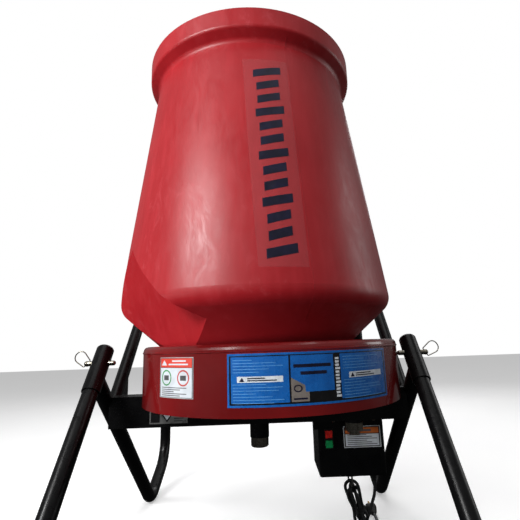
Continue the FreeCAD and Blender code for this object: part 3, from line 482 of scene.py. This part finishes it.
def caution_label_print():
    """A header, two plain rings and rows of lines on the small label."""
    first, last = -45.4, -27.7
    low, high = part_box("caution_label")[0][2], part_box("caution_label")[1][2]
    step = (2, 0)
    frame_line = [bar(first + 0.2, low + 0.8 * MM, last - 0.2, high - 0.8 * MM)]
    decal("caution_border", on_guard, frame_line, "label_black", 0.1 * MM, step)
    decal("caution_body", on_guard, [bar(first + 0.5, low + 1.6 * MM, last - 0.5, high - 17 * MM)],
          "label_pale", 0.2 * MM, step)
    decal("caution_header", on_guard, [bar(first + 0.5, high - 16.2 * MM, last - 0.5,
                                           high - 1.6 * MM)], "label_header", 0.2 * MM, step)
    ring_height = low + 32 * MM
    decal("caution_ring_green", on_guard, ring_shapes(-41.2, ring_height, 2.9, 13 * MM, 0.82),
          "label_ring_green", 0.3 * MM, step)
    decal("caution_ring_red", on_guard, ring_shapes(-32.3, ring_height, 2.9, 13 * MM, 0.82),
          "label_ring_red", 0.3 * MM, step)
    dark = [bar(-42.6 + 8.9 * k, ring_height - 4 * MM, -39.8 + 8.9 * k, ring_height + 4 * MM)
            for k in range(2)]
    for row in range(5):
        height = low + (3.4 + 3.1 * row) * MM
        share = 0.7 + 0.25 * math.sin(row * 2.1)
        dark.append(bar(first + 1.4, height, first + 1.4 + share * 14.6, height + 1.3 * MM))
    decal("caution_lines", on_guard, dark, "label_line_grey", 0.3 * MM, step)
    pale = [bar(-38, high - 7 * MM, -31, high - 4.6 * MM), bar(-40, high - 12.5 * MM, -30,
                                                               high - 10 * MM),
            [(-44.4, high - 13 * MM), (-41, high - 13 * MM), (-42.7, high - 4 * MM)]]
    decal("caution_header_marks", on_guard, pale, "label_pale", 0.3 * MM, step)


def flat_label_prints():
    """Plain blocks and lines on the rating plate and on the motor cover's label."""
    rating, cover = on_plate("rating_plate"), on_plate("cover_label")
    diamond = [[(0.33, 0.5), (0.46, 0.08), (0.59, 0.5), (0.46, 0.92)]]
    dark = [bar(0.03, 0.08, 0.27, 0.92)]
    decal("rating_blocks", rating, diamond + dark, "label_black", 0.1 * MM)
    decal("rating_diamond", rating, [[(0.37, 0.5), (0.46, 0.21), (0.55, 0.5), (0.46, 0.79)]],
          "label_pale", 0.2 * MM)
    lines = [bar(0.64, 0.12 + 0.15 * row, 0.95 - 0.06 * (row % 2), 0.18 + 0.15 * row)
             for row in range(6)]
    decal("rating_lines", rating, lines, "label_line_grey", 0.1 * MM)
    decal("cover_label_border", cover, [bar(0.02, 0.04, 0.98, 0.96)], "label_black", 0.1 * MM)
    decal("cover_label_body", cover, [bar(0.05, 0.08, 0.95, 0.62)], "label_pale", 0.2 * MM)
    decal("cover_label_header", cover, [bar(0.05, 0.66, 0.95, 0.92)], "label_orange", 0.2 * MM)
    lines = [bar(0.1, 0.14 + 0.085 * row, 0.9 - 0.14 * (row % 3), 0.175 + 0.085 * row)
             for row in range(6)]
    lines += [bar(0.3, 0.74, 0.75, 0.84), [(0.1, 0.71), (0.2, 0.71), (0.15, 0.87)]]
    decal("cover_label_lines", cover, lines, "label_line_grey", 0.3 * MM)


# ---------------------------------------------------------------- power cord

# The lead from its gland down to the hank, and its end from the hank's foot to the plug.
LEAD = [(256, 41.75, 102), (256, 41.75, 80), (244, 37.75, 54), (235, 34.5, 34), (226, 34.5, 21)]
TAIL = [(231, 42.75, 12), (246, 47.75, 5), (259, 58.75, 4.2), (264, 78.75, 6), (262, 101.75, 11)]
HANK_TOP = Vector((197.5, 32.75, 108.5)) * MM
HANK_FOOT = Vector((222.5, 32.75, 10.5)) * MM
TURNS = 4
FIRST_TURN = math.radians(-22.5)


def hank_points():
    """Turns fanned about the hank's line: narrow under the tie, folded wide at both ends."""
    down = (HANK_FOOT - HANK_TOP).normalized()
    long = (HANK_FOOT - HANK_TOP).length
    depth = Vector((0, 1, 0))
    side = depth.cross(-down).normalized()
    wide, deep, waist, waist_at = 16.5 * MM, 13.5 * MM, 9.6 * MM, 0.56
    nest = 7.2 * MM
    top_order, foot_order = (0, 2, 1, 3), (1, 3, 0, 2)

    def at(turn, spread_wide, spread_deep, along):
        return (HANK_TOP + side * math.cos(turn) * spread_wide
                + depth * math.sin(turn) * spread_deep + down * along)

    points = []
    for index in range(TURNS):
        here = FIRST_TURN + math.pi * index / TURNS
        across = math.hypot(wide * math.cos(here), deep * math.sin(here))
        if index:
            points.append(at(here + math.pi, wide, deep, long - across - foot))
        points.append(at(here + math.pi, waist, waist, long * waist_at))
        drop = top_order[index] * nest
        for degrees in (180, 135, 90, 45, 0):
            lean, rise = math.cos(math.radians(degrees)), math.sin(math.radians(degrees))
            points.append(at(here, wide * lean, deep * lean, drop + across * (1 - rise)))
        points.append(at(here, waist, waist, long * waist_at))
        foot = foot_order[index] * nest
        if index == TURNS - 1:
            points.append(at(here, wide * 0.8, deep * 0.8, long - across))
            break
        for degrees in (0, 45, 90, 135):
            turn = here + math.pi / TURNS * degrees / 180
            lean, fall = math.cos(math.radians(degrees)), math.sin(math.radians(degrees))
            points.append(at(turn, wide * lean, deep * lean, long - foot - across * (1 - fall)))
    return points


def power_cord():
    route = [Vector(point) * MM for point in LEAD]
    route += hank_points()
    route += [Vector(point) * MM for point in TAIL]
    curve = bpy.data.curves.new("power_cord", "CURVE")
    curve.dimensions = "3D"
    spline = curve.splines.new("NURBS")
    spline.points.add(len(route) - 1)
    for point, place in zip(spline.points, route):
        point.co = (*place, 1)
    spline.order_u = 3
    spline.use_endpoint_u = True
    spline.resolution_u = 10
    curve.bevel_depth, curve.bevel_resolution = 3.5 * MM, 5
    curve.use_fill_caps = True
    item = piece("power_cord", curve, "cord_black")
    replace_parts(item, "cord_tube", "cord_hank", "cord_tail")
    return item, route


def strain_relief():
    """A tapered rubber sleeve with ribs, where the lead leaves the motor cover."""
    low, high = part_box("cord_gland")
    top = Vector(((low[0] + high[0]) / 2, (low[1] + high[1]) / 2, high[2]))
    long, flange, tip = high[2] - low[2], (high[0] - low[0]) / 2, 5.0 * MM
    profile = [(0.1 * MM, 0), (flange - 3 * MM, 0), (flange - 3 * MM, 5 * MM), (flange, 5 * MM),
               (flange, 8.5 * MM), (flange - 0.7 * MM, 9 * MM)]
    ribs, start = 6, 10 * MM
    pitch = (long - start) / ribs
    for rib in range(ribs):
        share = rib / (ribs - 1)
        outer = (flange - 1.2 * MM) * (1 - share) + tip * share
        begin = start + rib * pitch
        profile += [(outer - 0.9 * MM, begin), (outer, begin + 0.25 * pitch),
                    (outer, begin + 0.7 * pitch), (outer - 0.9 * MM, begin + 0.9 * pitch)]
    profile.append((3.4 * MM, long))
    mesh = lathed("strain_relief", profile, top, Vector((0, 0, -1)), 32)
    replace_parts(piece("strain_relief", mesh, "rubber_black"), "cord_gland")


def moulded_plug():
    """The plug's body: a ribbed grip that widens to the face that carries the blades."""
    low, high = (Vector(corner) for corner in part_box("plug_body"))
    middle = (low + high) / 2
    half_wide, half_tall, long = (high.x - low.x) / 2, (high.z - low.z) / 2, high.y - low.y
    # share of the length, share of the half width, share of the half height, squareness
    sections = [(0.0, 0.36, 0.42, 2.0), (0.08, 0.4, 0.46, 2.0)]
    for rib in range(4):
        at = 0.1 + 0.085 * rib
        swell = 0.44 + 0.05 * rib
        sections += [(at, swell, swell, 2.1), (at + 0.02, swell + 0.07, swell + 0.07, 2.1),
                     (at + 0.05, swell + 0.07, swell + 0.07, 2.1), (at + 0.07, swell, swell, 2.1)]
    sections += [(0.5, 0.72, 0.74, 2.6), (0.62, 0.93, 0.94, 3.2), (0.72, 0.99, 0.99, 4.0),
                 (0.94, 1.0, 1.0, 4.5), (0.985, 0.97, 0.965, 4.5), (1.0, 0.9, 0.88, 4.5)]
    rings = []
    for share, wide, tall, square in sections:
        ring = []
        for k in range(40):
            turn = 2 * math.pi * k / 40
            across = math.copysign(abs(math.cos(turn)) ** (2 / square), math.cos(turn))
            rise = math.copysign(abs(math.sin(turn)) ** (2 / square), math.sin(turn))
            ring.append(Vector((middle.x + across * wide * half_wide, low.y + share * long,
                                middle.z + rise * tall * half_tall)))
        rings.append(ring)
    mesh = rings_mesh("moulded_plug", [ring[::-1] for ring in rings])
    item = piece("moulded_plug", mesh, "rubber_black")
    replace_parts(item, "plug_body")
    return item


# ---------------------------------------------------------------- camera, light and floor

def camera():
    """At chest height close in front, looking up at the drum, with a slight roll."""
    pitch, roll, heading = math.radians(11.88), math.radians(2.03), 0.00768
    right_of_axis, before_axis, above_floor = 0.034, 0.906, 0.414
    forward = Vector((heading * math.cos(pitch), math.cos(pitch), math.sin(pitch)))
    right = Vector((1, -heading, 0)).normalized()
    up = right.cross(forward)
    across = right * math.cos(roll) - up * math.sin(roll)
    upward = right * math.sin(roll) + up * math.cos(roll)
    data = bpy.data.cameras.new("Camera")
    data.lens, data.sensor_width, data.shift_x = 27.91, 36, -0.025
    data.clip_start, data.clip_end = 0.02, 60
    item = bpy.data.objects.new("Camera", data)
    axes = Matrix((across, upward, -forward)).transposed()
    place = (right_of_axis, DRUM_AXIS.y - before_axis, above_floor)
    item.matrix_world = Matrix.Translation(place) @ axes.to_4x4()
    bpy.context.scene.collection.objects.link(item)
    bpy.context.scene.camera = item


def area_light(name, place, target, width, height, power, mirrored=True):
    """A soft light; one that isn't mirrored fills shadows without a reflection of its own."""
    data = bpy.data.lights.new(name, "AREA")
    data.shape, data.size, data.size_y = "RECTANGLE", width, height
    data.energy = power
    item = bpy.data.objects.new(name, data)
    item.visible_glossy = mirrored
    item.location = place
    item.rotation_euler = (Vector(target) - Vector(place)).to_track_quat("-Z", "Y").to_euler()
    bpy.context.scene.collection.objects.link(item)


def surround():
    """A white backdrop for the camera, and a dim soft room for everything else."""
    world = bpy.data.worlds.new("Studio")
    world.use_nodes = True
    nodes, links = world.node_tree.nodes, world.node_tree.links
    background = nodes["Background"]
    background.inputs["Color"].default_value = (1, 1, 1, 1)
    split = nodes.new("ShaderNodeSeparateXYZ")
    links.new(nodes.new("ShaderNodeTexCoord").outputs["Generated"], split.inputs[0])
    room = nodes.new("ShaderNodeMapRange")
    for name, value in (("From Min", -0.25), ("From Max", 0.35), ("To Min", 0.015),
                        ("To Max", 0.2)):
        room.inputs[name].default_value = value
    links.new(split.outputs["Z"], room.inputs["Value"])
    seen = nodes.new("ShaderNodeMix")
    links.new(nodes.new("ShaderNodeLightPath").outputs["Is Camera Ray"], seen.inputs["Factor"])
    links.new(room.outputs["Result"], seen.inputs[2])
    seen.inputs[3].default_value = 1.0
    links.new(seen.outputs[0], background.inputs["Strength"])
    bpy.context.scene.world = world
    bpy.context.scene.view_settings.view_transform = "Standard"


def pale_floor():
    """A large pale floor that takes shadows but throws no light back up at the black stand."""
    reach = 9
    corners = [(-reach, -reach, 0), (reach, -reach, 0), (reach, reach, 0), (-reach, reach, 0)]
    mesh = mesh_of("floor", corners, [(0, 1, 2, 3)], False)
    floor = bpy.data.objects.new("floor", mesh)
    pale = tinted("floor_pale", (250, 250, 250), (246, 246, 247), 0.8, blotch=3.0, grain=300.0)
    pale.set(Emission_Color=(1, 1, 1, 1), Emission_Strength=0.33)
    mesh.materials.append(pale.material)
    bpy.context.scene.collection.objects.link(floor)
    floor.visible_diffuse = floor.visible_glossy = False


def studio():
    surround()
    pale_floor()
    drum = (0, DRUM_AXIS.y, 0.62)
    area_light("window", (-1.32, -1.5, 1.56), drum, 0.9, 0.4, 34)
    area_light("front", (-0.6, -2.6, 1.3), drum, 1.8, 1.8, 15, False)
    area_light("low_left", (-1.9, -1.2, 0.35), (0, DRUM_AXIS.y, 0.5), 1.4, 0.7, 24, False)
    area_light("side", (2.3, 0.3, 1.2), drum, 0.8, 1.6, 8)
    area_light("back", (0.3, 2.3, 1.9), drum, 2.2, 1.0, 22)
    area_light("top", (0, 0, 3.0), (0, 0, 0), 2.5, 2.5, 24)


dress_frame()
camera()
cord, cord_path = power_cord()
strain_relief()
plug = moulded_plug()
tuple(cord_path[0])
parting_lines()
drum_print()
guard_label_print()
caution_label_print()
flat_label_prints()
studio()
